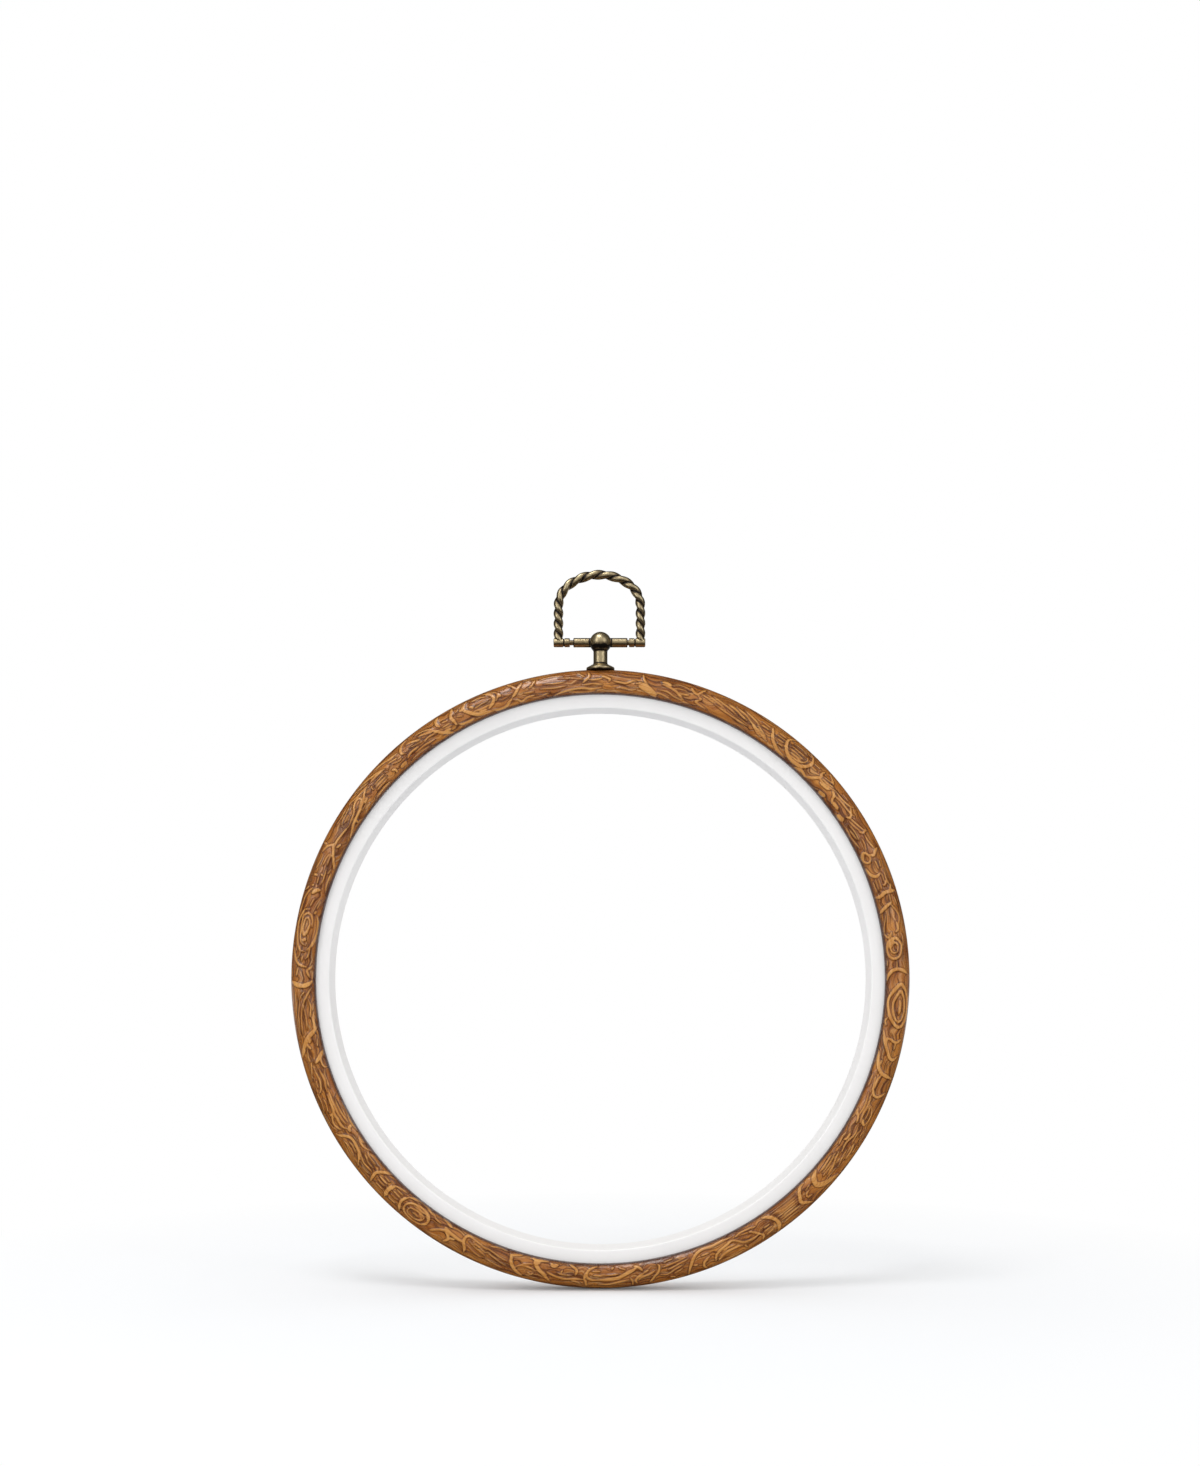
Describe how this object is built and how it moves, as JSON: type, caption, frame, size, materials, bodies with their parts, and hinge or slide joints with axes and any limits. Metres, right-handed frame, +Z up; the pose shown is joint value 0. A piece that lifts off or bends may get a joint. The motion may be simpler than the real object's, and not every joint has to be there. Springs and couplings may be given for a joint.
{
  "type": "embroidery hoop",
  "caption": "Round frame hoop: flexible wood-look outer ring gripping a rigid white inner ring, with a twisted-rope brass hanging loop on a swivelling post.",
  "frame": {"origin": "where a nail or hook holds the hoop: the inside of the bail's crown, in line with the post and at the middle of the hoop's depth", "axes": "+X runs across the hoop, +Y is the hoop's axis towards its back and the wall, +Z is up, so the hoop hangs below the origin"},
  "size_m": [0.18, 0.011, 0.2091],
  "materials": {
    "wood_look_vinyl": "satin",
    "white_plastic": "satin",
    "antique_brass": "satin",
    "plated_steel": "satin"
  },
  "bodies": {
    "bail": {"bail": "antique_brass"},
    "hanger": {"hanger_post": "antique_brass", "crossbar": "antique_brass", "hanger_screw": "plated_steel"},
    "outer_ring": {"outer_ring": "wood_look_vinyl", "screw_washer": "plated_steel"},
    "inner_ring": {"inner_ring": "white_plastic"}
  },
  "joints": [
    {"name": "bail_swing", "type": "hinge", "parent": "bail", "child": "hanger", "pos_m": [0, 0, -0.01835], "axis": [1, 0, 0], "range_deg": [-130, 130]},
    {"name": "hanger_swivel", "type": "hinge", "parent": "hanger", "child": "outer_ring", "pos_m": [0, 0, -0.0262], "axis": [0, 0, 1], "range_deg": [-20, 20]},
    {"name": "inner_ring_release", "type": "slide", "parent": "outer_ring", "child": "inner_ring", "axis": [0, 1, 0], "range_m": [0, 0.025]}
  ]
}
